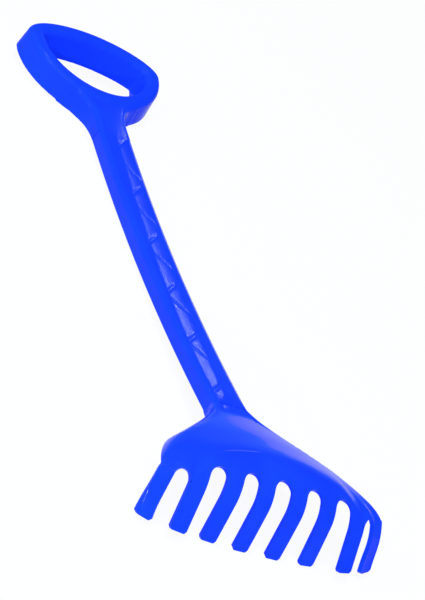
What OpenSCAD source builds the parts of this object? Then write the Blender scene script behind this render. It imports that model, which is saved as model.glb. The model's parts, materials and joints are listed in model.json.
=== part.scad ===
// Toy sand rake moulded in one piece: grip loop, bowed channel shaft, fan-shaped hood and eight tines.
// It lies on its tine tips and on the back edge of the grip loop, with +Z up and the grip towards +Y.
// Places along the rake are given by s, the distance from the grip end towards the tines.

/* [Grip loop] */
// Width of the loop over its front rim
loop_w = 91.2; // [70:0.2:110]
// Distance from the grip end to the widest place of the loop
loop_rise = 16.8; // [13:0.2:24]
// Distance from the widest place to the foot of the loop
loop_drop = 38.9; // [32:0.1:50]
// Width of the bar seen from the front
loop_bar = 8.5; // [7:0.1:10.5]
// Depth of the bar from front to back
loop_depth = 15.8; // [13:0.2:20]
// Draft that each side of the bar gains from front to back
loop_draft = 1.2; // [0.4:0.1:2]
// Rounding of the front rim
loop_round = 3; // [1.5:0.1:3.4]
// Tilt of the loop in degrees, grip end up
loop_tilt = 9.3; // [5:0.1:12]

/* [Shaft] */
// Length of the shaft from the foot of the loop to the mouth of the hood
shaft_len = 264.8; // [200:0.4:320]
// Width of the shaft over its back edges
shaft_w = 24; // [20:0.2:30]
// Depth of the shaft from front to back
shaft_depth = 9.4; // [8:0.2:14]
// Draft that each side of the shaft gains from front to back
shaft_draft = 0.8; // [0.2:0.1:1.5]
// Rounding of the two front edges of the shaft
shaft_round = 3.5; // [3:0.1:4.5]
// Radius of the bow of the shaft
bow_radius = 1420; // [1200:20:2000]
// Distance from the foot of the loop to the lowest place of the bow
bow_low = 96; // [80:1:120]
// Clearance under the lowest place of the bow
bow_clear = 2.1; // [1.5:0.1:4]
// Radius of the fillets that spread the neck into the loop
neck_fillet = 25; // [16:0.5:30]
// Thickness of the zig-zag rib
rib_t = 1.6; // [1:0.1:2.2]
// Length of one full zig and zag along the shaft
rib_period = 41; // [34:0.5:50]
// Distance from the back edge of the shaft to the back edge of the rib
rib_back = 1.5; // [0.8:0.1:3]

/* [Hood] */
// Wall thickness of the loop, the shaft and the hood
wall = 2.4; // [1.8:0.1:2.8]
// Rise of the flat panel towards the tines in degrees
panel_rise = 19.5; // [14:0.5:22]
// Length from the mouth to the front edge of the flat panel
panel_len = 42.5; // [38:0.5:48]
// Half width of the panel between the centres of its rounded front corners
panel_half = 44; // [42:0.5:46]
// Radius of the panel's front corners
corner_round = 3; // [2:0.5:5]
// Reach of the hood's side beyond the outer tine's root, as seen from above
side_x = 61; // [60:0.5:66]
// Distance of that side behind the front edge of the panel
side_back = -5; // [-8:0.5:2]
// Rounding from the panel to the rear wall
rear_round = 5.5; // [4:0.5:8]
// Depth of the rear wall below the panel edge
rear_depth = 12; // [11:0.5:15]
// Angle in degrees between the shaft side and the rear edge of the panel
rear_sweep = 48.4; // [46:0.2:50]
// Radius of the panel outline where the shaft opens into the hood
crease_round = 14; // [13:0.5:16]

/* [Tines] */
// Width of the inner, second, third and outer tine of one half
tine_w = [8.9, 9, 9.2, 8.2];
// Thickness of a tine
tine_t = 2.5; // [2:0.1:3]
// Distance of each of these tines from the middle at the edge of the panel
tine_x = [10, 26.8, 44.7, 53.5];
// Distance that each stands back from the edge of the panel
tine_back = [0, 0.6, 2.9, 6.4];
// Rounding from the panel down to each tine
tine_round = [23.2, 23.7, 27, 28.2];
// Yaw in degrees of each tine
tine_yaw = [0, 5.6, 9.2, 23.9];
// Slope in degrees of each tine below the horizontal
tine_slope = [71.5, 69.8, 60.7, 77.7];
// Distance that each tip bends forward of the straight line
tip_bend = [-0.9, -0.6, 0, 4.5];
// Height of each tip above the ground
tip_height = [0, 1.3, 5.2, 3.6];
// Depth of the round slot tops below the front edge of the panel, from the middle one outwards
slot_drop = [1.32, 1.52, 2.52, 7.52];

/* [Hidden] */
// How square the loop outline is above and below its widest place, as exponents of its curve
outer_square = [1.98, 2.03];
inner_square = [1.77, 2.07];
// Numbers of steps along the loop, along a round edge and across a tine
loop_steps = 72;
round_steps = 4;
arc_steps = 6;
tine_steps = 6;
// Steps of a full circle for the swept shaft
bow_steps = 720;
deg = 180 / PI;
over = 1;

loop_end = loop_rise + loop_drop;
mouth_s = loop_end + shaft_len;
front_s = mouth_s + panel_len;
low_s = loop_end + bow_low;
shaft_half = shaft_w / 2;
front_half = shaft_half - shaft_draft;

slot_half = (tine_x[1] - tine_x[0] - tine_w[0]) / 2;

function mix(a, b, share) = a * (1 - share) + b * share;
function ease(share) = share * share * (3 - 2 * share);
function bow_back(s) = bow_clear + bow_radius - sqrt(pow(bow_radius, 2) - pow(s - low_s, 2));
function panel_z(s) = bow_back(mouth_s) + shaft_depth + (s - mouth_s) * tan(panel_rise);

// A section of the hood is [x, s, yaw, rounding, slope]: its place on the panel edge and how it falls away.
function start(c) = -atan(tan(panel_rise) * cos(c[2]));
function arc_foot(c) = panel_z(c[1]) + c[3] * (cos(c[4]) - cos(start(c)));
// Path length from the panel edge down to a height
function reach(c, z) = z > arc_foot(c)
    ? c[3] * (acos(cos(start(c)) + (z - panel_z(c[1])) / c[3]) - start(c)) / deg
    : c[3] * (c[4] - start(c)) / deg + (arc_foot(c) - z) / sin(c[4]);
// Distance out, height and slope at a path length
function fall(c, path) =
    let (a = min(c[4], start(c) + path / c[3] * deg), rest = max(0, path - c[3] * (c[4] - start(c)) / deg))
    [c[3] * (sin(a) - sin(start(c))) + rest * cos(c[4]),
     panel_z(c[1]) + c[3] * (cos(a) - cos(start(c))) - rest * sin(c[4]),
     a];

// Section of a tine of the right half, across from -1 to 1
function tine_section(k, across) =
    [tine_x[k] + across * tine_w[k] / 2 * cos(tine_yaw[k]),
     front_s - tine_back[k] - across * tine_w[k] / 2 * sin(tine_yaw[k]),
     tine_yaw[k], tine_round[k], tine_slope[k]];
// Section on the centre line of a slot, and at last at the outer edge of the outer tine
function slot_section(k) = k == 0 ? [0, front_s - tine_back[0], 0, tine_round[0], tine_slope[0]]
    : k == 4 ? tine_section(3, 1)
    : (tine_section(k - 1, 1) + tine_section(k, -1)) / 2;
function slot_z(k) = panel_z(front_s) - slot_drop[min(k, 3)];

// Distance from the grip end to the furthest edge of a tip
function tip_edge(k, across) = let (c = tine_section(k, across))
    c[1] + fall(c, reach(c, tip_height[k]))[0] * cos(c[2]) + tip_bend[k];
tip_s = max([for (k = [0:3], across = [-1, 1]) tip_edge(k, across)]);
mid_s = (tip_s - loop_draft) / 2;

function skin_point(c, path, depth) =
    let (f = fall(c, path), out = f[0] - depth * sin(f[2]))
    [c[0] + out * sin(c[2]), mid_s - c[1] - out * cos(c[2]), f[1] - depth * cos(f[2])];

// Outline of the loop at an angle, as [x, s]
function curve(t, square) = sign(t) * pow(abs(t), 2 / square);
function outline(angle, inset, squares) =
    let (square = sin(angle) < 0 ? squares[0] : squares[1],
         reach_s = sin(angle) < 0 ? loop_rise : loop_drop)
    [(loop_w / 2 - inset) * curve(cos(angle), square), loop_rise + (reach_s - inset) * curve(sin(angle), square)];
function loop_front(s) = loop_depth + (loop_end + loop_draft - s) * tan(loop_tilt);

// Profile of the bar as [distance from the outer edge as seen from the front, depth], w wide
function bar_profile(w) = concat(
    [[-loop_draft, loop_depth]],
    [for (i = [0:round_steps]) let (a = 90 * i / round_steps)
        [loop_round * (1 - cos(a)), loop_round * (1 - sin(a))]],
    [for (i = [0:round_steps]) let (a = 90 * i / round_steps)
        [w - loop_round * (1 - sin(a)), loop_round * (1 - cos(a))]],
    [[w + loop_draft, loop_depth],
     [w + loop_draft - wall, loop_depth],
     [w - wall, wall],
     [wall, wall],
     [wall - loop_draft, loop_depth]]);

// Closed ring of profiles, each with the same number of points
module ring(rows) {
    n = len(rows);
    m = len(rows[0]);
    polyhedron(points = [for (row = rows) each row],
        faces = [for (i = [0:n - 1], j = [0:m - 1])
            let (a = i * m, b = (i + 1) % n * m, k = (j + 1) % m) each [[a + j, b + k, a + k], [a + j, b + j, b + k]]]);
}

module handle_loop() {
    color("royalblue") ring([for (i = [0:loop_steps - 1])
        let (angle = (i + 0.5) * 360 / loop_steps,
             o = outline(angle, 0, outer_square),
             q = outline(angle, loop_bar, inner_square),
             w = norm(q - o))
        [for (p = bar_profile(w)) let (c = mix(o, q, p[0] / w)) [c[0], mid_s - c[1], loop_front(c[1]) - p[1]]]]);
}

// Sweep of a profile, [distance from the bow's axis, x], along the bow between two places of the shaft
module bow(from_s, to_s) {
    from_a = asin((low_s - to_s - over) / bow_radius);
    to_a = asin((low_s - from_s + over) / bow_radius);
    intersection() {
        translate([0, mid_s - low_s, bow_clear + bow_radius]) rotate([0, 90, 0]) rotate([0, 0, from_a])
            rotate_extrude(angle = to_a - from_a, $fn = bow_steps) children();
        translate([-loop_w, mid_s - to_s, -loop_w]) cube([2 * loop_w, to_s - from_s, 3 * loop_w]);
    }
}

// Half outline of the shaft section, inset by the wall for its hollow
function half_profile(inset) =
    let (r = shaft_round - inset, front = bow_radius - shaft_depth + inset)
    concat([[bow_radius, shaft_half - inset]],
        [for (i = [0:round_steps]) let (a = 90 * i / round_steps)
            [front + r * (1 - sin(a)), front_half - inset - r * (1 - cos(a))]]);
module shaft_profile(inset) {
    right = half_profile(inset);
    polygon(concat(right, [for (i = [len(right) - 1:-1:0]) [right[i][0], -right[i][1]]]));
}

// Section of the loop's foot where the neck fillet touches it
function fillet_x(angle) = let (p = outline(angle, 0, outer_square), q = outline(angle + over, 0, outer_square),
    n = [q[1] - p[1], p[0] - q[0]] / norm(q - p)) p + n * neck_fillet;
function find_fillet(lo, hi, tries) = let (a = (lo + hi) / 2) tries == 0 ? a
    : fillet_x(a)[0] > shaft_half + neck_fillet ? find_fillet(a, hi, tries - 1) : find_fillet(lo, a, tries - 1);
fillet_angle = find_fillet(5, 89, 20);
neck_s = fillet_x(fillet_angle)[1];
fillet_turn = asin((neck_s - outline(fillet_angle, 0, outer_square)[1]) / neck_fillet);

module neck_plan(inset) {
    right = [for (i = [0:arc_steps]) let (a = fillet_turn * i / arc_steps)
        [shaft_half + neck_fillet - (neck_fillet + inset) * cos(a), neck_s - (neck_fillet + inset) * sin(a)]];
    difference() {
        polygon(concat([for (p = right) [p[0], mid_s - p[1]]],
            [for (i = [arc_steps:-1:0]) [-right[i][0], mid_s - right[i][1]]]));
        polygon([for (i = [0:loop_steps - 1])
            let (p = outline((i + 0.5) * 360 / loop_steps, -loop_draft / 3, outer_square)) [p[0], mid_s - p[1]]]);
    }
}
module neck_block(inset, front, back) {
    intersection() {
        bow(loop_rise, neck_s) translate([bow_radius - front, -loop_w / 2]) square([front - back, loop_w]);
        linear_extrude(height = loop_w) neck_plan(inset);
    }
}

module neck_flare() {
    color("royalblue") difference() {
        neck_block(0, shaft_depth, 0);
        neck_block(wall, shaft_depth - wall, -over);
    }
}

module shaft_channel() {
    color("royalblue") bow(neck_s, mouth_s) difference() {
        shaft_profile(0);
        shaft_profile(wall);
    }
}

module shaft_ribs() {
    reach_x = shaft_half - wall;
    step = rib_period / 2;
    count = floor((mouth_s - neck_s) / step) - 1;
    first_y = mid_s - (neck_s + mouth_s - count * step) / 2;
    half_t = rib_t / 2 * sqrt(1 + pow(2 * reach_x / step, 2));
    color("royalblue") intersection() {
        bow(neck_s, mouth_s) intersection() {
            shaft_profile(wall);
            translate([bow_radius - shaft_depth, -shaft_w]) square([shaft_depth - rib_back, 2 * shaft_w]);
        }
        union() for (i = [0:count - 1]) {
            side = i % 2 == 0 ? -shaft_half : shaft_half;
            y = first_y - i * step;
            lean = step * shaft_half / reach_x / 2;
            linear_extrude(height = loop_w) polygon([
                [side, y - step / 2 + lean + half_t], [-side, y - step / 2 - lean + half_t],
                [-side, y - step / 2 - lean - half_t], [side, y - step / 2 + lean - half_t]]);
        }
    }
}

// The hood is a row of columns from the middle slot round to the mouth, right half. A column is a list of
// outer points from the panel edge down to the lower edge, then a list of inner points.
mouth_x = front_half - shaft_round;
crease_out = crease_round * (1 - cos(rear_sweep));
crease_s = mouth_s + crease_round * sin(rear_sweep);
corner_s = front_s - corner_round;
rear_end = [panel_half + corner_round * sin(rear_sweep), corner_s - corner_round * cos(rear_sweep)];

function drop_points(c, low, thick) = [
    [for (i = [0:arc_steps]) skin_point(c, reach(c, low) * i / arc_steps, 0)],
    [for (i = [0:arc_steps]) i == 0 ? skin_point(c, 0, 0) - [0, 0, wall / cos(panel_rise)]
        : skin_point(c, reach(c, low) * i / arc_steps, mix(wall, thick, i / arc_steps))]];
function bezier(a, b, c, d, share) = let (r = 1 - share)
    a * pow(r, 3) + b * 3 * r * r * share + c * 3 * r * share * share + d * pow(share, 3);
// Column from a place on the panel edge to a low point that is reached in the direction down
function blend_points(edge, low, low_inner, down) =
    let (a = [edge[0], mid_s - edge[1], panel_z(edge[1])], flat = [low[0] - a[0], low[1] - a[1]],
         handle = 0.4 * norm(low - a), way = flat / norm(flat) * handle,
         out = [way[0], way[1], -way[1] * tan(panel_rise)], in = a - [0, 0, wall / cos(panel_rise)])
    [[for (i = [0:arc_steps]) bezier(a, a + out, low - down * handle, low, i / arc_steps)],
     [for (i = [0:arc_steps]) bezier(in, in + out, low_inner - down * handle, low_inner, i / arc_steps)]];

function corner_edge(yaw) = [panel_half + corner_round * sin(yaw), corner_s + corner_round * cos(yaw)];
// Direction down the tine at its root
function root_way(c, low) = let (r = reach(c, low), way = skin_point(c, r + over, 0) - skin_point(c, r, 0))
    way / norm(way);
// Columns of one tine: the first and the last stand on the slots beside it, the others on the tine
function across(i) = 2 * i / tine_steps - 1;
function column_section(k, i) = i == 0 ? slot_section(k) : i == tine_steps ? slot_section(k + 1)
    : tine_section(k, across(i));
function column_low(k, i) = mix(slot_z(k), slot_z(k + 1), ease(max(0, min(1, (i - 1) / (tine_steps - 2)))));
function tine_column(k, i) = let (c = column_section(k, i), low = column_low(k, i), share = i / tine_steps)
    k < 2 ? drop_points(c, low, tine_t)
    : blend_points(k == 2 ? mix([slot_section(2)[0], slot_section(2)[1]], corner_edge(0), share)
            : corner_edge(60 * share),
        skin_point(c, reach(c, low), 0),
        skin_point(c, reach(c, low), tine_t) + (k == 3 ? side_wall * share * share : [0, 0, 0]), root_way(c, low));
root_end = skin_point(slot_section(4), reach(slot_section(4), slot_z(4)), 0);
root_end_way = root_way(slot_section(4), slot_z(4));
rear_low = panel_z(rear_end[1]) - rear_depth;
rear_wall = [rear_end[0], rear_end[1], 90 + rear_sweep, rear_round, 85];
rear_foot = skin_point(rear_wall, reach(rear_wall, rear_low), 0);
rear_inner = skin_point(rear_wall, reach(rear_wall, rear_low), wall);
chord = rear_foot - root_end;
side_wall = [-chord[1], chord[0], 0] / norm([chord[0], chord[1]]) * wall;
side = [side_x, mid_s - front_s + side_back, (root_end[2] + rear_foot[2]) / 2];
function arch(a, b, c, share) = let (r = 1 - share) a * r * r + b * 2 * r * share + c * share * share;
// Side of the hood between the outer tine and the rear wall
function side_column(share) = let (down = mix(root_end_way, [0, 0, -1], share))
    blend_points(corner_edge(mix(60, 90 + rear_sweep, share)), arch(root_end, side, rear_foot, share),
        arch(tine_column(3, tine_steps)[1][arc_steps], side + side_wall, rear_inner, share), down / norm(down));
function rear_column(share) = let (e = mix(rear_end, [mouth_x + crease_out, crease_s], share))
    drop_points([e[0], e[1], 90 + rear_sweep, rear_round, 85], panel_z(e[1]) - rear_depth, wall);
function crease_column(share) = let (a = rear_sweep * (1 - share), s = mouth_s + crease_round * sin(a))
    drop_points([mouth_x + crease_round * (1 - cos(a)), s, 90 + a, mix(rear_round, shaft_round, share), 85],
        panel_z(s) - mix(rear_depth, shaft_depth, share), wall);
right_columns = concat(
    [for (k = [0:3], i = [0:tine_steps - 1]) tine_column(k, i)],
    [tine_column(3, tine_steps)],
    [for (i = [1:tine_steps]) side_column(i / (tine_steps + 1))],
    [for (i = [0:arc_steps - 1]) rear_column(i / arc_steps)],
    [for (i = [0:arc_steps]) crease_column(i / arc_steps)]);

function flip(points) = [for (p = points) [-p[0], p[1], p[2]]];

module head_hood() {
    right_outer = [for (column = right_columns) column[0]];
    right_inner = [for (column = right_columns) column[1]];
    last = len(right_columns) - 1;
    outer = concat([for (i = [last:-1:1]) flip(right_outer[i])], right_outer);
    inner = concat([for (i = [last:-1:1]) flip(right_inner[i])], right_inner);
    n = len(outer);
    m = arc_steps + 1;
    function o(i, j) = i * m + j;
    function q(i, j) = (n + i) * m + j;
    color("royalblue") polyhedron(
        points = concat([for (row = outer) each row], [for (row = inner) each row]),
        faces = concat(
            [for (i = [0:n - 2], j = [0:m - 2]) each
                [[o(i, j), o(i + 1, j + 1), o(i + 1, j)], [o(i, j), o(i, j + 1), o(i + 1, j + 1)],
                 [q(i, j), q(i + 1, j), q(i + 1, j + 1)], [q(i, j), q(i + 1, j + 1), q(i, j + 1)]]],
            [for (i = [0:n - 2]) each [[o(i, m - 1), q(i, m - 1), q(i + 1, m - 1)],
                [o(i, m - 1), q(i + 1, m - 1), o(i + 1, m - 1)]]],
            [[for (i = [0:n - 1]) o(i, 0)], [for (i = [n - 1:-1:0]) q(i, 0)]],
            [for (j = [0:m - 2]) each
                [[o(0, j), q(0, j), q(0, j + 1)], [o(0, j), q(0, j + 1), o(0, j + 1)],
                 [o(n - 1, j), q(n - 1, j + 1), q(n - 1, j)], [o(n - 1, j), o(n - 1, j + 1), q(n - 1, j + 1)]]],
            [[o(0, 0), o(n - 1, 0), q(n - 1, 0), q(0, 0)]]));
}

// Tine of one half: its root is as wide as the pitch and narrows round the slot tops
module tine(k) {
    turns = [for (i = [0:arc_steps]) 90 * i / arc_steps];
    lower = [0.25, 0.5, 0.75, 1];
    function section(i, turn) = mix(column_section(k, i), tine_section(k, across(i)), sin(turn));
    function root(i, turn) = reach(section(i, turn), column_low(k, i)) + slot_half * (1 - cos(turn));
    function tip(c, depth) = reach(c, tip_height[k]) - depth / tan(c[4]);
    function row(turn, share, depth) = [for (i = [0:tine_steps]) let (c = section(i, turn))
        skin_point(c, mix(root(i, turn), tip(c, depth), share), depth) - [0, tip_bend[k] * share * share, 0]];
    outer = concat([for (t = turns) row(t, 0, 0)], [for (share = lower) row(90, share, 0)]);
    inner = concat([for (t = turns) row(t, 0, tine_t)], [for (share = lower) row(90, share, tine_t)]);
    n = len(outer);
    m = tine_steps + 1;
    rings = [for (i = [0:n - 1]) concat(outer[i], [for (j = [m - 1:-1:0]) inner[i][j]])];
    function at(i, j) = i * 2 * m + j % (2 * m);
    polyhedron(points = [for (r = rings) each r],
        faces = concat(
            [for (i = [0:n - 2], j = [0:2 * m - 1]) each
                [[at(i, j), at(i, j + 1), at(i + 1, j + 1)], [at(i, j), at(i + 1, j + 1), at(i + 1, j)]]],
            [for (j = [0:m - 2]) each [[at(0, j), at(0, 2 * m - 1 - j), at(0, 2 * m - 2 - j)],
                [at(0, j), at(0, 2 * m - 2 - j), at(0, j + 1)]]],
            [for (j = [0:m - 2]) each [[at(n - 1, j), at(n - 1, 2 * m - 2 - j), at(n - 1, 2 * m - 1 - j)],
                [at(n - 1, j), at(n - 1, j + 1), at(n - 1, 2 * m - 2 - j)]]]));
}

module left_tine(k) { color("royalblue") mirror([1, 0, 0]) tine(k); }
module right_tine(k) { color("royalblue") tine(k); }
module tine_1() { left_tine(3); }
module tine_2() { left_tine(2); }
module tine_3() { left_tine(1); }
module tine_4() { left_tine(0); }
module tine_5() { right_tine(0); }
module tine_6() { right_tine(1); }
module tine_7() { right_tine(2); }
module tine_8() { right_tine(3); }

handle_loop();
neck_flare();
shaft_channel();
shaft_ribs();
head_hood();
tine_1();
tine_2();
tine_3();
tine_4();
tine_5();
tine_6();
tine_7();
tine_8();
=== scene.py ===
"""Sand rake: one glossy blue moulding, lying on a pale floor."""
import json
import math
import bmesh
import bpy
import numpy as np
from mathutils import Matrix, Vector
from mathutils.geometry import delaunay_2d_cdt, tessellate_polygon

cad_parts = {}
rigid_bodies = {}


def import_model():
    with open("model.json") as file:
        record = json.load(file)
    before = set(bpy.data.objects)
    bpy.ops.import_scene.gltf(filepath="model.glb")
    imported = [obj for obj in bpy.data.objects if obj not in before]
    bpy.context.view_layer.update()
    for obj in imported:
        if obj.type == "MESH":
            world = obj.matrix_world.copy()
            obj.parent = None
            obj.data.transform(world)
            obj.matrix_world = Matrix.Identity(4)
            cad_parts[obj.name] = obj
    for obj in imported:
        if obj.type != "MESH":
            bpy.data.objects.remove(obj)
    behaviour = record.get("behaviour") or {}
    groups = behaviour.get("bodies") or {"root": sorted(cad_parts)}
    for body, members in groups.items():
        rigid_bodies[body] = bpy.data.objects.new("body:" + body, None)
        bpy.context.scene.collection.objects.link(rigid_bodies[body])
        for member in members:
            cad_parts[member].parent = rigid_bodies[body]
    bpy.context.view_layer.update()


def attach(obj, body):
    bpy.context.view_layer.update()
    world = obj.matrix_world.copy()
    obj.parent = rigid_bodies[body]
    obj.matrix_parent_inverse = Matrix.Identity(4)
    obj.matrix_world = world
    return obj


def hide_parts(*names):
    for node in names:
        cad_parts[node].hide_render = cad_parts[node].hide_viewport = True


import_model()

# Sizes in millimetres and degrees. s runs from the grip end towards the tines, and Y = MID_S - s.
MM = 0.001
MID_S = 200.927
WALL = 2.4

# Grip loop: its outline is a superellipse with one power towards the grip end and one towards the shaft.
LOOP_W, LOOP_RISE, LOOP_DROP, LOOP_BAR = 93.8, 16.8, 38.9, 8.5
LOOP_DEPTH, LOOP_DRAFT, LOOP_ROUND, LOOP_TILT = 15.8, 1.2, 3.0, 9.3
LOOP_LEAN, LEAN_S, LEAN_RUN = 1.1, 30.0, 38.0
OUTER_POWERS, INNER_POWERS = (1.9, 1.93), (1.77, 2.02)
INNER_WIDTH_SHARE, INNER_DRAFT_TIMES = 0.965, 3.2
BACK_ROUND, HOLLOW_ROUND = 0.5, 0.4

# Neck: its fillets and where they begin, how far it reaches into the loop, and the drop of its back edge.
NECK_FILLET, NECK_S, NECK_LAP, NECK_BLEND = 25.0, 71.473, 6.0, 2.0
BACK_S, BACK_DROP, JOIN_S = 52.0, 5.15, 84.0

# Shaft: a bowed channel, whose front shows sink marks over the zig-zag rib.
SHAFT_LEN, SHAFT_W, SHAFT_DEPTH, SHAFT_DRAFT, SHAFT_ROUND = 264.8, 24.0, 9.4, 0.8, 3.5
BOW_RADIUS, BOW_LOW, BOW_CLEAR = 1420.0, 96.0, 2.1
EDGE_OUT, EDGE_IN = 0.5, 0.4
SHAFT_CROWN, FRONT_FADE, NECK_FADE, HOOD_FADE = 0.8, 1.2, 4.0, 8.0
RIB_PERIOD, RIB_REACH, SINK_DEPTH, SINK_WIDTH = 41.0, 9.6, 0.05, 1.1

# Hood: a narrow panel that falls away towards its sides and rounds over to its free lower edge. FOOT is the
# rear wall's lower end at the shoulder, and SIDE the place that the side's free edge bends towards. Most of
# the shares say how long a column keeps its direction at the panel's edge and at the free edge.
PANEL_RISE, PANEL_LEN = 19.5, 42.5
CREASE_BACK, CREASE_ROUND = 3.0, 14.5
DIP_RUN, SHAFT_RUN, SHAFT_BLEND = 26.0, 12.0, 0.25
CROWN, CROWN_HALF, CROWN_POWER = 5.9, 46.0, 1.8
FLAT_HALF, FLAT_BACK, FLAT_ROUND, FLAT_TURN = 46.2, 3.3, 4.0, 60.0
REAR_SWEEP = 50.3
FOOT = {"x": 53.0, "s": 355.9, "drop": 13.4, "lean": 6.4}
SIDE = {"x": 63.3, "s": 367.2, "lean": 8.7}
SHAFT_LEAN, SHAFT_SLOPE = 5.0, 85.0
SLOT_SHARE, OUTER_SLOT_SHARE = 0.25, 0.3
BULGE_SHARE, TINE_TOP_SHARE, TINE_FOOT_SHARE = 0.37, 0.23, 0.205
BACK_TOP_SHARE, BACK_FOOT_SHARE, SHAFT_SIDE_FROM = 0.32, 0.30, 0.6
FILL_GAP, FILL_ROW_SHARE, FILL_START, FILL_CLEAR = 1.6, 0.87, 0.6, 0.8

# Tines of the right half, from the middle outwards, and the slot on the inner side of each.
TINE_W, TINE_X, TINE_BACK = (8.9, 9.0, 9.2, 8.2), (10.0, 26.8, 44.7, 53.3), (0.0, 0.6, 2.9, 6.4)
TINE_ROUND, TINE_YAW = (23.2, 23.7, 27.0, 28.2), (0.0, 5.6, 9.2, 23.9)
TINE_SLOPE, TIP_BEND = (71.5, 69.8, 60.7, 77.7), (-0.9, -0.6, 0.0, 4.5)
TIP_HEIGHT, TIP_CORNER = (0.0, 1.3, 5.2, 3.6), (1.4, 0.1, 0.0)
SLOT_TOP = (35.3, 35.1, 34.1, 29.1)
OUTER = len(TINE_X) - 1
RIM_ROUND, RIM_STEPS, RIM_ANGLE = 0.55, 3, 50.0

# Numbers of steps, and the steps of two grids
ROWS, SLOT_COLUMNS, TINE_COLUMNS, TINE_ROWS = 24, 7, 10, 22
SIDE_COLUMNS, REAR_COLUMNS, CREASE_COLUMNS = 24, 18, 12
# Each smoothing pass: its tries, the rows it leaves alone at the free edge, and those over which it fades.
SMOOTHING = ((110, 7, 10), (30, 0, 8))
FILL_COLUMNS, FILL_ROWS = 32, 36
STATIONS, FLAT_STEPS, ROUND_STEPS, SIDE_STEPS, EDGE_STEPS, INNER_STEPS = 341, 8, 12, 6, 5, 4
TURN_STEPS, TABLE_STEP, CHUNK = 720, 0.5, 4000
GRIP_STEP, QUICK_STEP = 0.5, 0.9

LOOP_END = LOOP_RISE + LOOP_DROP
MOUTH_S = LOOP_END + SHAFT_LEN
FRONT_S = MOUTH_S + PANEL_LEN
LOW_S = LOOP_END + BOW_LOW
CREASE_S = MOUTH_S + CREASE_BACK
SHAFT_HALF = SHAFT_W / 2
FRONT_HALF = SHAFT_HALF - SHAFT_DRAFT
FILLET_X = FRONT_HALF + NECK_FILLET
RISE = math.tan(math.radians(PANEL_RISE))
REAR_YAW = math.radians(REAR_SWEEP)
REAR_NORMAL = np.array([math.cos(REAR_YAW), -math.sin(REAR_YAW)])
RIB_LEGS = int((MOUTH_S - NECK_S) / (RIB_PERIOD / 2)) - 1
RIB_START = (NECK_S + MOUTH_S - RIB_LEGS * RIB_PERIOD / 2) / 2
SHARES = np.arange(ROWS + 1) / ROWS
collection = bpy.context.scene.collection


def to_frame(p):
    """Points [x, s, z] in millimetres as places in Blender."""
    p = np.asarray(p, float)
    return np.stack([p[..., 0], MID_S - p[..., 1], p[..., 2]], -1) * MM


def mix(a, b, share):
    return np.asarray(a, float) * (1 - share) + np.asarray(b, float) * share


def ease(t):
    return t * t * (3 - 2 * t)


def unit(v):
    """Vectors of length one, along the last axis."""
    return v / np.linalg.norm(v, axis=-1, keepdims=True)


def rmax(a, b, r):
    """Intersection of two solids with its edge rounded to the radius r."""
    return np.minimum(np.maximum(a, b), -r) + np.hypot(np.maximum(a + r, 0), np.maximum(b + r, 0))


def rmin(a, b, r):
    """Union of two solids with a fillet of the radius r."""
    return -rmax(-a, -b, r)


# Grip loop and neck, as a distance field

def signed_power(t, power):
    return np.sign(t) * np.abs(t) ** power


def outline(angle, inset, powers):
    """Points [x, s] of the loop's outline, or of its opening at an inset."""
    at_end = np.sin(angle) < 0
    power = 2 / np.where(at_end, powers[0], powers[1])
    reach = np.where(at_end, LOOP_RISE, LOOP_DROP) - inset
    x = (LOOP_W / 2 - inset) * signed_power(np.cos(angle), power)
    return np.stack([x, LOOP_RISE + reach * signed_power(np.sin(angle), power)], -1)


def polygon_distance(x, s, poly):
    """Signed distance to a closed outline, negative inside."""
    x, s = np.broadcast_arrays(x, s)
    p = np.stack([x.ravel(), s.ravel()], 1)
    a, b = poly, np.roll(poly, -1, 0)
    e = b - a
    out = np.empty(len(p))
    for i in range(0, len(p), CHUNK):
        q = p[i:i + CHUNK, None, :] - a[None]
        t = np.clip((q * e).sum(-1) / (e * e).sum(-1), 0, 1)
        d = np.sqrt(((q - t[..., None] * e) ** 2).sum(-1).min(1))
        y = p[i:i + CHUNK, None, 1]
        over = (a[None, :, 1] > y) != (b[None, :, 1] > y)
        cross = over & (q[..., 0] < e[None, :, 0] * q[..., 1] / np.where(e[:, 1] == 0, 1, e[:, 1])[None])
        out[i:i + CHUNK] = np.where(cross.sum(1) % 2 == 1, -d, d)
    return out.reshape(x.shape)


def cubic_weights(t):
    """Weights of four neighbours in a row, for a smooth curve between the middle two."""
    return (((2 - t) * t - 1) * t / 2, ((3 * t - 5) * t * t + 2) / 2,
            ((4 - 3 * t) * t + 1) * t / 2, (t - 1) * t * t / 2)


def distance_table(poly, low, high, step):
    """Distances to an outline on a grid, read back with smooth curves between the grid's points."""
    xs, ss = (np.arange(low[k] - 2 * step, high[k] + 3 * step, step) for k in (0, 1))
    table = polygon_distance(xs[:, None], ss[None, :], poly)
    end_gap = 3.001

    def read(x, s):
        x, s = np.broadcast_arrays(x, s)
        u = np.clip((x - xs[0]) / step, 1, len(xs) - end_gap)
        v = np.clip((s - ss[0]) / step, 1, len(ss) - end_gap)
        i, j = u.astype(int), v.astype(int)
        wu, wv = cubic_weights(u - i), cubic_weights(v - j)
        return sum(wu[a] * wv[b] * table[i + a - 1, j + b - 1] for a in range(4) for b in range(4))
    return read


TURN = (np.arange(TURN_STEPS) + 0.5) * 2 * np.pi / TURN_STEPS
LOOP_OUTSIDE = outline(TURN, 0, OUTER_POWERS)
LOOP_INSIDE = outline(TURN, LOOP_BAR, INNER_POWERS) * [INNER_WIDTH_SHARE, 1]
TABLE_LOW, TABLE_HIGH = (-50.0, -4.0), (50.0, 78.0)
outer_distance = distance_table(LOOP_OUTSIDE, TABLE_LOW, TABLE_HIGH, TABLE_STEP)
inner_distance = distance_table(LOOP_INSIDE, TABLE_LOW, TABLE_HIGH, TABLE_STEP)


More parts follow.
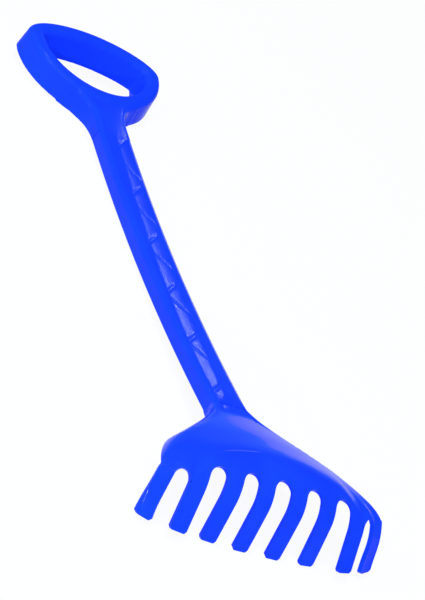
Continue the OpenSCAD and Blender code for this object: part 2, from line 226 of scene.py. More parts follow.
def fillet_way():
    """Direction from the centre of the neck's fillet to where the fillet touches the loop."""
    way = LOOP_OUTSIDE - [FILLET_X, NECK_S]
    return unit(way[np.hypot(way[:, 0], way[:, 1]).argmin()])


FILLET_WAY = fillet_way()


def bow_height(s, z):
    """Height above the bowed back of the shaft."""
    return BOW_RADIUS - np.hypot(s - LOW_S, z - BOW_CLEAR - BOW_RADIUS)


def neck_solid(x, s, h, loop_distance):
    """The web between shaft and loop, with a fillet on each side, up to the front face."""
    far_inside = -50.0
    cx = FILLET_X + SHAFT_DRAFT * (1 - h / SHAFT_DEPTH)
    ax = np.abs(x)
    side = NECK_FILLET - np.hypot(cx - ax, np.minimum(s - NECK_S, 0)) * np.where(ax > cx, -1, 1)
    past = (ax - FILLET_X) * -FILLET_WAY[1] + (s - NECK_S) * FILLET_WAY[0]
    end = np.maximum(np.where(s < NECK_S, past, far_inside), -(loop_distance + NECK_LAP))
    return rmax(np.maximum(side, end), h - SHAFT_DEPTH, SHAFT_ROUND)


def grip(x, s, z):
    """Loop, neck and the start of the shaft as one moulding, negative inside."""
    x = x + LOOP_LEAN * (1 - ease(np.clip((s - LEAN_S) / LEAN_RUN, 0, 1)))
    d = (LOOP_DEPTH + (LOOP_END + LOOP_DRAFT - s) * math.tan(math.radians(LOOP_TILT)) - z)
    grow = LOOP_DRAFT * np.clip(d, 0, None) / LOOP_DEPTH
    outside = outer_distance(x, s)
    inside = -inner_distance(x, s)
    bar = rmax(np.maximum(outside - grow, inside - INNER_DRAFT_TIMES * grow), -d, LOOP_ROUND)
    loop = rmax(bar, d - LOOP_DEPTH, BACK_ROUND)
    h = bow_height(s, z)
    neck = neck_solid(x, s, h, outside)
    back = h + BACK_DROP * (1 - ease(np.clip((s - BACK_S) / (JOIN_S - BACK_S), 0, 1)))
    body = rmin(loop, rmax(neck, -back, BACK_ROUND), NECK_BLEND)
    hollow = np.minimum(bar, neck) + WALL
    return rmax(body, -hollow, HOLLOW_ROUND)


def surface_nets(f, low, step):
    """Quad mesh of the zero surface of the grid values f.

    Each cell that the surface crosses has a point, at the mean of the crossings on the cell's edges, and
    each crossed edge has a face between the four cells around it.
    """
    n = np.array(f.shape)
    total = np.zeros(tuple(n - 1) + (3,))
    count = np.zeros(tuple(n - 1))
    quads = []
    ids = np.full(tuple(n - 1), -1)
    inside = f < 0
    edges = []
    for ax in range(3):
        a = [slice(None)] * 3
        b = [slice(None)] * 3
        a[ax], b[ax] = slice(0, -1), slice(1, None)
        fa, fb = f[tuple(a)], f[tuple(b)]
        hit = inside[tuple(a)] != inside[tuple(b)]
        t = np.where(hit, fa / np.where(hit, fa - fb, 1), 0)
        pos = np.stack(np.meshgrid(*[np.arange(k) for k in hit.shape], indexing="ij"), -1).astype(float)
        pos[..., ax] += t
        pos *= hit[..., None]
        o1, o2 = [k for k in range(3) if k != ax]
        for d1 in (0, 1):
            for d2 in (0, 1):
                sl = [slice(None)] * 3
                sl[o1] = slice(d1, n[o1] - 1 + d1)
                sl[o2] = slice(d2, n[o2] - 1 + d2)
                total += pos[tuple(sl)]
                count += hit[tuple(sl)]
        edges.append((ax, o1, o2, hit, inside[tuple(a)]))
    active = count > 0
    ids[active] = np.arange(active.sum())
    verts = low + step * total[active] / count[active][:, None]
    for ax, o1, o2, hit, start_in in edges:
        idx = np.argwhere(hit)
        ok = (idx[:, o1] > 0) & (idx[:, o1] < n[o1] - 1) & (idx[:, o2] > 0) & (idx[:, o2] < n[o2] - 1)
        idx = idx[ok]
        corner = []
        for d1, d2 in ((1, 1), (0, 1), (0, 0), (1, 0)):
            c = idx.copy()
            c[:, o1] -= d1
            c[:, o2] -= d2
            corner.append(ids[tuple(c.T)])
        q = np.stack(corner, 1)
        flip = start_in[tuple(idx.T)] != (ax == 1)
        q[flip] = q[flip][:, ::-1]
        quads.append(q)
    return verts, np.concatenate(quads)


def gradient(f, p, reach):
    """Gradient of f at the points p, from its values at a reach to both sides."""
    g = np.empty_like(p)
    for k in range(3):
        a, b = p.copy(), p.copy()
        a[:, k] += reach
        b[:, k] -= reach
        g[:, k] = (f(*a.T) - f(*b.T)) / (2 * reach)
    return g


def settle(f, p, step):
    """Moves the points of a mesh onto the surface, by half a grid step at most in each try."""
    tries, reach, least = 3, 0.15, 0.2
    for _ in range(tries):
        g = gradient(f, p, reach)
        d = f(*p.T) / np.maximum((g * g).sum(1), least)
        p = p - np.clip(d, -step / 2, step / 2)[:, None] * g
    return p


# Hood and tines, as one skin of columns that run from the panel's edge down to the free edge

def bow_back(s):
    """Height of the shaft's back."""
    return BOW_CLEAR + BOW_RADIUS - math.sqrt(BOW_RADIUS ** 2 - (s - LOW_S) ** 2)


PANEL_Z = bow_back(MOUTH_S) + SHAFT_DEPTH
MOUTH_DIP = PANEL_Z + (CREASE_S - MOUTH_S) * RISE - bow_back(CREASE_S) - SHAFT_DEPTH


def panel_z(s):
    """Height of the panel's middle: a rising plane that dips into the shaft's front at the crease."""
    t = min(1.0, max(0.0, (s - CREASE_S) / DIP_RUN))
    plane = PANEL_Z + (s - MOUTH_S) * RISE - MOUTH_DIP * (1 - ease(t))
    if s > CREASE_S + SHAFT_RUN:
        return plane
    shaft = bow_back(s) + SHAFT_DEPTH
    return (plane + shaft + math.hypot(plane - shaft, SHAFT_BLEND)) / 2


def crown(x):
    """How far the panel falls away towards its sides."""
    return CROWN * (abs(x) / CROWN_HALF) ** CROWN_POWER


def crown_slope(x):
    return CROWN * CROWN_POWER / CROWN_HALF * (abs(x) / CROWN_HALF) ** (CROWN_POWER - 1)


def section_start(c):
    """Angle at which a section leaves the panel, where c is its [x, s, yaw, rounding, slope]."""
    return -math.atan(RISE * math.cos(math.radians(c[2])))


def skin_point(c, path):
    """Point at a path length down a section: round the bend, and then straight on."""
    first, last, r = section_start(c), math.radians(c[4]), c[3]
    a = min(last, first + path / r)
    rest = max(0.0, path - r * (last - first))
    out = r * (math.sin(a) - math.sin(first)) + rest * math.cos(last)
    z = panel_z(c[1]) + r * (math.cos(a) - math.cos(first)) - rest * math.sin(last)
    yaw = math.radians(c[2])
    return np.array([c[0] + out * math.sin(yaw), c[1] + out * math.cos(yaw), z])


def path_to(c, z):
    """Path length down a section to a height."""
    first, last, r = section_start(c), math.radians(c[4]), c[3]
    foot = panel_z(c[1]) + r * (math.cos(last) - math.cos(first))
    if z > foot:
        return r * (math.acos(math.cos(first) + (z - panel_z(c[1])) / r) - first)
    return r * (last - first) + (foot - z) / math.sin(last)


def way_down(c, path):
    return unit(skin_point(c, path + 1) - skin_point(c, path))


def tine_section(k, across):
    """Section down tine k, across from -1 at its inner edge to 1 at its outer one."""
    yaw = math.radians(TINE_YAW[k])
    return np.array([TINE_X[k] + across * TINE_W[k] / 2 * math.cos(yaw),
                     FRONT_S - TINE_BACK[k] - across * TINE_W[k] / 2 * math.sin(yaw),
                     TINE_YAW[k], TINE_ROUND[k], TINE_SLOPE[k]])


def between(k, v):
    """Section in slot k, v from the one tine's edge to the other's."""
    b = tine_section(k, -1)
    if k == 0:
        a = b.copy()
        a[0] = -b[0]
    else:
        a = tine_section(k - 1, 1)
    return np.concatenate([mix(a[:2], b[:2], v), mix(a[2:], b[2:], ease(v))])


def slot_half(k):
    """Half the width of slot k at its top."""
    a = tine_section(k, -1)
    p = skin_point(a, path_to(a, SLOT_TOP[k]))
    if k == 0:
        return p[0]
    b = tine_section(k - 1, 1)
    return np.linalg.norm(p - skin_point(b, path_to(b, SLOT_TOP[k]))) / 2


def bezier(a, b, c, d, share):
    r = 1 - share
    return a * r ** 3 + b * 3 * r * r * share + c * 3 * r * share * share + d * share ** 3


def arch(a, b, c, t):
    return a * (1 - t) ** 2 + b * 2 * (1 - t) * t + c * t * t


def flat_corner(yaw):
    """Point on the panel's rounded corner, where its edge faces the yaw."""
    a = math.radians(yaw)
    s = FRONT_S - FLAT_BACK - FLAT_ROUND + FLAT_ROUND * math.cos(a)
    return np.array([FLAT_HALF - FLAT_ROUND + FLAT_ROUND * math.sin(a), s, panel_z(s)])


def blended(edge, low, down, top, foot):
    """Column that leaves the crowned panel at its edge and comes to low in the direction down."""
    edge = edge - [0, 0, crown(edge[0])]
    span = np.linalg.norm(low - edge)
    flat = (low - edge)[:2]
    way = flat / np.linalg.norm(flat) * top * span
    out = np.array([way[0], way[1], way[1] * RISE - way[0] * crown_slope(edge[0])])
    return np.array([bezier(edge, edge + out, low - down * foot * span, low, t) for t in SHARES])


def dropped(c, end):
    """Column along a section that starts on the crowned panel."""
    arc = np.array([skin_point(c, end * t) for t in SHARES])
    arc[:, 2] -= crown(arc[0, 0]) * (1 - ease(SHARES))
    return arc


def outer_slot(v, lift):
    """Top of the outermost slot as an arch between the two tines' edges, with its direction down."""
    ends = []
    for k, across in ((OUTER - 1, 1), (OUTER, -1)):
        c = tine_section(k, across)
        path = path_to(c, SLOT_TOP[OUTER]) + slot_half(OUTER)
        ends.append((skin_point(c, path), way_down(c, path)))
    down = unit(mix(ends[0][1], ends[1][1], v))
    return mix(ends[0][0], ends[1][0], v) - down * slot_half(OUTER) * lift, down


def hood_column(c, end, k, progress, foot=None):
    """Column over tine k or the slots beside it, with progress from 0 to 1 outwards.

    Where foot is given, it holds the column's low end and its direction there.
    """
    arc = dropped(c, end)
    if k == 0:
        return arc
    low, down = foot or (skin_point(c, end), way_down(c, end))
    edge = skin_point(c, 0)
    if k == OUTER - 1:
        edge = mix(skin_point(between(k, 0.5), 0), flat_corner(0), progress)
        edge[2] = panel_z(edge[1])
    elif k == OUTER:
        edge = flat_corner(FLAT_TURN * progress)
    w = {1: 0, OUTER - 1: progress, OUTER: 1}[k]
    top, bottom = mix(BULGE_SHARE, TINE_TOP_SHARE, w), mix(BULGE_SHARE, TINE_FOOT_SHARE, w)
    curve = blended(edge, low, down, top, bottom)
    return mix(arc, curve, ease(progress)) if k == 1 else curve


def slot_column(slot, k, side, a, progress):
    """Column from the middle of a slot (a = 0) towards its edge on one side (a = a right angle)."""
    v = 0.5 + side * 0.5 * math.sin(a)
    c = between(slot, v)
    end = path_to(c, SLOT_TOP[slot]) + slot_half(slot) * (1 - math.cos(a))
    foot = outer_slot(v, math.cos(a)) if slot == OUTER else None
    return hood_column(c, end, k, progress, foot)


def hood_columns():
    """Right half of the hood's front, and for each tine its first column and the ends of its columns."""
    columns, spans = [], []
    turns = [i / SLOT_COLUMNS * math.pi / 2 for i in range(SLOT_COLUMNS)]
    for k in range(OUTER + 1):
        lead, tail = (OUTER_SLOT_SHARE, 0.0) if k == OUTER else (SLOT_SHARE, SLOT_SHARE)
        for a in turns:
            columns.append(slot_column(k, k, 1, a, lead * math.sin(a)))
        after = min(k + 1, OUTER)
        first = len(columns)
        ends = []
        for i in range(TINE_COLUMNS + 1):
            v = i / TINE_COLUMNS
            c = tine_section(k, 2 * v - 1)
            end = float(mix(path_to(c, SLOT_TOP[k]) + slot_half(k),
                            path_to(c, SLOT_TOP[after]) + slot_half(after), ease(v)))
            ends.append((c, end))
            columns.append(hood_column(c, end, k, lead + (1 - lead - tail) * v))
        spans.append((first, k, ends))
        if k < OUTER:
            for a in turns[::-1][:-1]:
                columns.append(slot_column(k + 1, k, -1, a, 1 - tail * math.sin(a)))
    return columns, spans


def lean_down(out, lean):
    """Direction down a wall that faces out and leans."""
    a = math.radians(lean)
    return np.array([out[0] * math.sin(a), out[1] * math.sin(a), -math.cos(a)])


def corner_tangent():
    """How far the concave corner's arc reaches from where its two sides would meet."""
    return CREASE_ROUND * math.tan(REAR_YAW / 2)


def hood_start():
    """Where the hood's concave corner begins on the shaft's side."""
    return FOOT["s"] - (FOOT["x"] - SHAFT_HALF) / math.tan(REAR_YAW) - corner_tangent()


def rear_path(foot):
    """Places of the rear wall's foot and of the concave corner's, each with the yaw that it faces."""
    tangent, begin = corner_tangent(), hood_start()
    line = np.array([SHAFT_HALF + tangent * math.sin(REAR_YAW), begin + tangent * (1 + math.cos(REAR_YAW))])
    path = [(mix(foot[:2], line, i / REAR_COLUMNS), REAR_YAW) for i in range(REAR_COLUMNS)]
    for i in range(CREASE_COLUMNS + 1):
        a = REAR_YAW * (1 - i / CREASE_COLUMNS)
        x = SHAFT_HALF + CREASE_ROUND * (1 - math.cos(a))
        path.append((np.array([x, begin + CREASE_ROUND * math.sin(a)]), a))
    return path


def side_columns(root, root_down, foot, foot_down):
    """Columns round the side, between the outer tine and the rear wall's foot."""
    side = np.array([SIDE["x"], SIDE["s"], (root[2] + foot[2]) / 2])
    side_down = lean_down(np.array([1.0, 0.0]), SIDE["lean"])
    columns = []
    for i in range(1, SIDE_COLUMNS):
        t = i / SIDE_COLUMNS
        down = mix(root_down, side_down, 2 * t) if t < 0.5 else mix(side_down, foot_down, 2 * t - 1)
        edge = flat_corner(FLAT_TURN + (90 - FLAT_TURN + REAR_SWEEP) * t)
        columns.append(blended(edge, arch(root, side, foot, t), unit(down),
                               mix(TINE_TOP_SHARE, BACK_TOP_SHARE, t),
                               mix(TINE_FOOT_SHARE, BACK_FOOT_SHARE, t)))
    return columns


def rear_columns(foot, foot_down):
    """Columns of the rear wall and the concave corner, as far as the shaft's side."""
    inset = SHAFT_HALF - (FRONT_HALF - SHAFT_ROUND)
    shift = flat_corner(90 + REAR_SWEEP)[:2] - (foot[:2] - REAR_NORMAL * inset)
    path = rear_path(foot)
    columns = []
    for i, (q, a) in enumerate(path):
        t = i / (len(path) - 1)
        way = np.array([math.cos(a), -math.sin(a)])
        e = q - way * inset + shift * (1 - t) ** 2
        e = np.array([e[0], e[1], panel_z(e[1])])
        q = np.array([q[0], q[1], panel_z(q[1]) - mix(FOOT["drop"], SHAFT_DEPTH, ease(t))])
        down = mix(foot_down, lean_down(way, SHAFT_LEAN), ease(t))
        column = blended(e, q, unit(down), BACK_TOP_SHARE, BACK_FOOT_SHARE)
        near = (t - SHAFT_SIDE_FROM) / (1 - SHAFT_SIDE_FROM)
        if near > 0:
            column = mix(column, shaft_side_column(e, q, a), ease(near))
        columns.append(column)
    return columns


def back_columns(root, root_down):
    """Side, rear wall and concave corner of the right half, from the outer tine round to the mouth."""
    foot = np.array([FOOT["x"], FOOT["s"], panel_z(FOOT["s"]) - FOOT["drop"]])
    foot_down = lean_down(REAR_NORMAL, FOOT["lean"])
    return side_columns(root, root_down, foot, foot_down) + rear_columns(foot, foot_down)


def shaft_side_column(e, q, a):
    """Column with the shaft's own rounding, from the edge e down to q."""
    c = np.array([e[0], e[1], 90.0 + math.degrees(a), SHAFT_ROUND, SHAFT_SLOPE])
    end = path_to(c, q[2])
    arc = np.array([skin_point(c, end * u) for u in SHARES])
    arc[:, :2] += (q[:2] - arc[-1, :2]) * SHARES[:, None]
    arc[:, 2] -= crown(e[0]) * (1 - ease(SHARES))
    return arc


def panel_fill(ring):
    """Points inside the panel's outline, and its triangles: the outline's points come first."""
    weld = 1e-5
    inner = []
    for i in range(-FILL_COLUMNS, FILL_COLUMNS + 1):
        for j in range(FILL_ROWS):
            x = i * FILL_GAP + (j % 2) * FILL_GAP / 2
            inner.append((x, hood_start() + FILL_START + j * FILL_GAP * FILL_ROW_SHARE))
    inner = np.array(inner)
    inner = inner[polygon_distance(inner[:, 0], inner[:, 1], ring[:, :2]) < -FILL_CLEAR]
    flat = [Vector(p) for p in ring[:, :2]] + [Vector(p) for p in inner]
    edges = [(i, (i + 1) % len(ring)) for i in range(len(ring))]
    triangles = delaunay_2d_cdt(flat, edges, [], 1, weld)[2]
    spots = np.array([p[:] for p in flat])
    out = []
    for t in triangles:
        a, b, c = spots[t]
        turn = (b[0] - a[0]) * (c[1] - a[1]) - (b[1] - a[1]) * (c[0] - a[0])
        out.append(list(t) if turn < 0 else list(t)[::-1])
    z = [panel_z(s) - crown(x) for x, s in inner]
    return np.column_stack([inner, z]), out


def smoothed(rows):
    """Evens out neighbouring columns, less and less towards the free edge."""
    most = 0.5
    for tries, first, span in SMOOTHING:
        hold = np.clip((ROWS - first - np.arange(ROWS + 1)) / span, 0, 1)[:, None] * most
        for _ in range(tries):
            before = np.linalg.norm(rows[1:-1] - rows[:-2], axis=2)[..., None]
            after = np.linalg.norm(rows[2:] - rows[1:-1], axis=2)[..., None]
            even = (rows[:-2] * after + rows[2:] * before) / (before + after)
            rows[1:-1] += (even - rows[1:-1]) * hold
    return rows


def tine_row(k, side, ends, t):
    """Points across a tine at a share t of its length, with the corners of its tip taken off."""
    out = []
    for i, (c, end) in enumerate(ends):
        tip = path_to(c, TIP_HEIGHT[k]) - TIP_CORNER[min(i, len(ends) - 1 - i, 2)]
        p = skin_point(c, end + (tip - end) * t)
        p[1] += TIP_BEND[k] * t * t
        p[0] *= side
        out.append(p)
    return out


def tine_strip(k, side, ends, top, count):
    """Points of a tine below the points top of the hood's edge, and its faces; its ids begin at count."""
    points, faces = [], []
    last = top
    for r in range(1, TINE_ROWS + 1):
        points += tine_row(k, side, ends, r / TINE_ROWS)
        ids = list(range(count, count + len(ends)))
        count += len(ends)
        for i in range(len(ids) - 1):
            q = [last[i], ids[i], ids[i + 1], last[i + 1]]
            faces.append(q if side > 0 else q[::-1])
        last = ids
    return points, faces


def head_skin():
    """Points [x, s, z], faces and the region of each face: 0 the hood, 1 to 8 the tines."""
    columns, spans = hood_columns()
    c, end = spans[OUTER][2][-1]
    columns += back_columns(skin_point(c, end), way_down(c, end))
    right = np.array(columns)
    left = right[:0:-1] * [-1, 1, 1]
    rows = smoothed(np.concatenate([left, right]))
    n, m = rows.shape[:2]
    faces = [[i * m + j, i * m + j + 1, (i + 1) * m + j + 1, (i + 1) * m + j]
             for i in range(n - 1) for j in range(m - 1)]
    inner, fill = panel_fill(rows[:, 0])
    ids = [i * m for i in range(n)] + list(range(n * m, n * m + len(inner)))
    faces += [[ids[i] for i in f] for f in fill]
    regions = [0] * len(faces)
    points = list(rows.reshape(-1, 3)) + list(inner)
    for first, k, ends in spans:
        for side in (1, -1):
            top = [(len(left) + side * (first + i)) * m + m - 1 for i in range(len(ends))]
            strip, strip_faces = tine_strip(k, side, ends, top, len(points))
            points += strip
            faces += strip_faces
            regions += [5 + k if side > 0 else 4 - k] * len(strip_faces)
    return np.array(points), faces, regions


# Pieces in Blender

def add_node(tree, kind, values=()):
    """New shader node with values for some of its inputs."""
    node = tree.nodes.new(kind)
    for name, value in dict(values).items():
        node.inputs[name].default_value = value
    return node


def add_ramp(tree, stops):
    """New colour ramp of two stops, each a place and a colour."""
    ramp = tree.nodes.new("ShaderNodeValToRGB")
    for stop, (position, color) in zip(ramp.color_ramp.elements, stops):
        stop.position = position
        stop.color = color
    return ramp


def plastic():
    """Glossy moulded polypropylene with a faint flow mottle and fine handling marks."""
    mat = bpy.data.materials.new("blue_gloss")
    mat.use_nodes = True
    tree = mat.node_tree
    shader = tree.nodes["Principled BSDF"]
    shader.inputs["IOR"].default_value = 1.49
    shader.inputs["Specular IOR Level"].default_value = 0.03
    coord = add_node(tree, "ShaderNodeTexCoord")
    mottle = add_node(tree, "ShaderNodeTexNoise", {"Scale": 38, "Detail": 3})
    ramp = add_ramp(tree, ((0.3, (0.0080, 0.045, 0.95, 1)), (0.7, (0.0092, 0.053, 1.0, 1))))
    fine = add_node(tree, "ShaderNodeTexNoise", {"Scale": 160, "Detail": 4})
    rough = add_node(tree, "ShaderNodeMapRange",
                     {"From Min": 0.3, "From Max": 0.75, "To Min": 0.06, "To Max": 0.09})
    bump = add_node(tree, "ShaderNodeBump", {"Strength": 0.04, "Distance": 0.0004})
    for source, target in ((coord.outputs["Object"], mottle.inputs["Vector"]),
                           (mottle.outputs["Fac"], ramp.inputs["Fac"]),
                           (ramp.outputs["Color"], shader.inputs["Base Color"]),
                           (coord.outputs["Object"], fine.inputs["Vector"]),
                           (fine.outputs["Fac"], rough.inputs["Value"]),
                           (rough.outputs["Result"], shader.inputs["Roughness"]),
                           (mottle.outputs["Fac"], bump.inputs["Height"]),
                           (bump.outputs["Normal"], shader.inputs["Normal"])):
        tree.links.new(source, target)
    return mat


BLUE = plastic()


def add_object(name, data):
    obj = bpy.data.objects.new(name, data)
    collection.objects.link(obj)
    return obj


def piece(name, verts, faces, normals, nodes):
    """Piece from points in metres; normals has one for each corner of a face, or None where it is flat."""
    mesh = bpy.data.meshes.new(name)
    mesh.from_pydata([tuple(v) for v in verts], [], [tuple(int(i) for i in f) for f in faces])
    mesh.polygons.foreach_set("use_smooth", [True] * len(mesh.polygons))
    mesh.materials.append(BLUE)
    obj = add_object(name, mesh)
    loops = []
    for poly, ns in zip(mesh.polygons, normals):
        loops += [tuple(poly.normal)] * len(poly.vertices) if ns is None else [tuple(n) for n in ns]
    mesh.normals_split_custom_set(loops)
    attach(obj, "root")
    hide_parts(*nodes)


def open_rings(faces):
    """Boundary rings of an open mesh, each as a list of points in order."""
    edges = dict.fromkeys((a, f[(i + 1) % len(f)]) for f in faces for i, a in enumerate(f))
    follow = {b: a for (a, b) in edges if (b, a) not in edges}
    rings = []
    while follow:
        a, b = next(iter(follow.items()))
        ring = [a]
        while b in follow and b != a:
            ring.append(b)
            b = follow.pop(ring[-1])
        follow.pop(a, None)
        rings.append(ring)
    return rings


def triangulated(p):
    """Triangles over a ring of points, facing the way that the ring turns."""
    want = np.zeros(3)
    q = p - p.mean(0)
    for i in range(len(q)):
        want += np.cross(q[i], q[(i + 1) % len(q)])
    out = []
    for t in tessellate_polygon([[Vector(v) for v in p]]):
        n = np.cross(p[t[1]] - p[t[0]], p[t[2]] - p[t[0]])
        out.append(t if n @ want >= 0 else t[::-1])
    return out


def closed(verts, faces, normals):
    """The open mesh with its boundary rings filled flat."""
    faces, normals = [list(f) for f in faces], list(normals)
    for ring in open_rings(faces):
        if len(ring) >= 3:
            for t in triangulated(np.asarray(verts)[ring]):
                faces.append([ring[i] for i in t])
                normals.append(None)
    return faces, normals


def cut(bm, s, keep_above):
    """Cuts a mesh at a plane across s; keep_above keeps the side towards the tines."""
    geom = bm.verts[:] + bm.edges[:] + bm.faces[:]
    bmesh.ops.bisect_plane(bm, geom=geom, dist=1e-6, plane_co=(0, s, 0), plane_no=(0, 1, 0),
                           clear_inner=keep_above, clear_outer=not keep_above)


def grip_mesh():
    """Points [x, s, z] and faces of loop and neck as one mesh."""
    margin = 3.0
    low = np.array([-49.0, -3.0, -1.6])
    high = np.array([49.0, JOIN_S + margin, 28.0])
    step = GRIP_STEP
    n = ((high - low) / step).astype(int) + 2
    gx, gs, gz = (low[k] + step * np.arange(n[k]) for k in range(3))
    values = grip(gx[:, None, None], gs[None, :, None], gz[None, None, :])
    verts, quads = surface_nets(values, low, step)
    verts = settle(grip, verts, step)
    verts[:, 2] = np.maximum(verts[:, 2], 0)
    return verts, quads


def cut_mesh(verts, quads, start, end):
    """Points and faces of a mesh up to end, and from start on where it isn't None."""
    bm = bmesh.new()
    points = [bm.verts.new(v) for v in verts]
    for q in quads:
        bm.faces.new([points[i] for i in q])
    cut(bm, end, False)
    if start is not None:
        cut(bm, start, True)
    bm.verts.index_update()
    p = np.array([v.co[:] for v in bm.verts])
    faces = [[v.index for v in f.verts] for f in bm.faces]
    bm.free()
    return p, faces


def make_grip():
    """Loop and neck, cut apart from one mesh."""
    lap, normal_reach = 1.4, 0.5
    verts, quads = grip_mesh()
    for name, nodes, start, end in (("grip_loop", ["handle_loop"], None, LOOP_END + lap),
                                    ("neck_web", ["neck_flare"], LOOP_END + lap, JOIN_S)):
        p, faces = cut_mesh(verts, quads, start, end)
        n = unit(gradient(grip, p, normal_reach)) * [1, -1, 1]
        p = to_frame(p)
        faces, normals = closed(p, faces, [[n[i] for i in f] for f in faces])
        piece(name, p, faces, normals, nodes)


def sink(x, s):
    """How far the front falls away: a slight crown, and the sink marks over the zig-zag rib."""
    half = RIB_PERIOD / 2
    t = np.abs(((s - RIB_START) / half) % 2 - 1) * 2 - 1
    d = np.abs(x - t * RIB_REACH) / math.hypot(1, 2 * RIB_REACH / half)
    return SINK_DEPTH * np.exp(-(d / SINK_WIDTH) ** 2) + SHAFT_CROWN * (x / FRONT_HALF) ** 2


def shaft_profile():
    """Right half of the closed U section as [x, h] with a normal for each point."""
    pts = []
    lean = math.atan(SHAFT_DRAFT / SHAFT_DEPTH)
    right = math.pi / 2
    flat = FRONT_HALF - SHAFT_ROUND

    def arc(cx, ch, r, a0, a1, steps):
        for i in range(steps + 1):
            a = a0 + (a1 - a0) * i / steps
            pts.append((cx + r * math.sin(a), ch + r * math.cos(a), math.sin(a), math.cos(a)))

    for i in range(FLAT_STEPS):
        pts.append((flat * (i / FLAT_STEPS), SHAFT_DEPTH, 0, 1))
    arc(flat, SHAFT_DEPTH - SHAFT_ROUND, SHAFT_ROUND, 0, right - lean, ROUND_STEPS)
    x0, h0 = pts[-1][:2]
    for i in range(1, SIDE_STEPS):
        t = i / SIDE_STEPS
        h = h0 * (1 - t) + EDGE_OUT * t
        pts.append((x0 + (h0 - h) * math.tan(lean), h, math.cos(lean), -math.sin(lean)))
    xb = x0 + (h0 - EDGE_OUT) * math.tan(lean)
    arc(xb - EDGE_OUT, EDGE_OUT, EDGE_OUT, right - lean, 2 * right, EDGE_STEPS)
    arc(xb - WALL + EDGE_IN, EDGE_IN, EDGE_IN, 2 * right, 3 * right - lean, INNER_STEPS)
    r = SHAFT_ROUND - WALL
    h = SHAFT_DEPTH - WALL - r
    pts.append((flat + r * math.cos(lean), h, -math.cos(lean), math.sin(lean)))
    for i in range(EDGE_STEPS):
        a = (right - lean) * (1 - (i + 1) / EDGE_STEPS)
        pts.append((flat + r * math.sin(a), h + r * math.cos(a), -math.sin(a), -math.cos(a)))
    for i in range(1, INNER_STEPS + 1):
        pts.append((flat * (1 - i / INNER_STEPS), SHAFT_DEPTH - WALL, 0, -1))
    return np.array(pts)


def shaft_point(x, h, s):
    """Points [x, s, z] at a height h above the bowed back."""
    z = BOW_CLEAR + BOW_RADIUS - np.sqrt((BOW_RADIUS - h) ** 2 - (s - LOW_S) ** 2)
    return np.stack([x, s, z], -1)


def shaft_normals(x, h, s, ring, share):
    """Normals of the shaft's points, bent by the crown and the sink marks to a share."""
    reach, sink_reach = 1e-3, 0.2
    flat = shaft_point(x, h, s)
    along = shaft_point(x, h, s + reach) - flat
    around = shaft_point(x + reach * ring[:, 3], h - reach * ring[:, 2], s) - flat
    sink_x = (sink(x + sink_reach, s) - sink(x - sink_reach, s)) / (2 * sink_reach)
    sink_s = (sink(x, s + sink_reach) - sink(x, s - sink_reach)) / (2 * sink_reach)
    bend = np.stack([sink_x, sink_s, np.zeros_like(x)], -1) * share[..., None]
    return unit(unit(np.cross(around, along)) + bend) * [1, -1, 1]


def make_shaft():
    """The bowed channel, drawn through stations from the neck to just inside the hood."""
    neck_lap, hood_lap = 0.6, 1.2
    half = shaft_profile()
    ring = np.concatenate([half, half[-2:0:-1] * [-1, 1, -1, 1]])
    m = len(ring)
    stations = np.linspace(JOIN_S - neck_lap, hood_start() + hood_lap, STATIONS)
    x = np.repeat(ring[None, :, 0], STATIONS, 0)
    h = np.repeat(ring[None, :, 1], STATIONS, 0)
    s = np.repeat(stations[:, None], m, 1)
    front = np.clip((h - SHAFT_DEPTH + FRONT_FADE) / FRONT_FADE, 0, 1)
    fade = np.clip((s - JOIN_S) / NECK_FADE, 0, 1) * np.clip((hood_start() - s) / HOOD_FADE, 0, 1)
    share = front * fade
    n = shaft_normals(x, h, s, ring, share).reshape(-1, 3)
    p = to_frame(shaft_point(x, h - sink(x, s) * share, s)).reshape(-1, 3)
    faces = [[i * m + j, i * m + (j + 1) % m, (i + 1) * m + (j + 1) % m, (i + 1) * m + j]
             for i in range(STATIONS - 1) for j in range(m)]
    a = p[faces[0]]
    if np.cross(a[1] - a[0], a[2] - a[0]) @ n[faces[0][0]] < 0:
        faces = [f[::-1] for f in faces]
    faces, normals = closed(p, faces, [[n[i] for i in f] for f in faces])
    piece("shaft_skin", p, faces, normals, ["shaft_channel"])


def head_object(points, faces, regions):
    """Hood and tines as one object, which gets its wall and its rounded rims from modifiers."""
    mesh = bpy.data.meshes.new("head_skin")
    mesh.from_pydata([tuple(v) for v in to_frame(points)], [], faces)
    for _ in range(max(regions) + 1):
        mesh.materials.append(BLUE)
    mesh.polygons.foreach_set("material_index", regions)
    mesh.polygons.foreach_set("use_smooth", [True] * len(regions))
    obj = add_object("head_skin", mesh)
    wall = obj.modifiers.new("wall", "SOLIDIFY")
    wall.thickness = WALL * MM
    wall.offset = -1
    wall.use_even_offset = False
    rim = obj.modifiers.new("edge", "BEVEL")
    rim.width = RIM_ROUND * MM
    rim.segments = RIM_STEPS
    rim.limit_method = "ANGLE"
    rim.angle_limit = math.radians(RIM_ANGLE)
    rim.harden_normals = True
    return obj


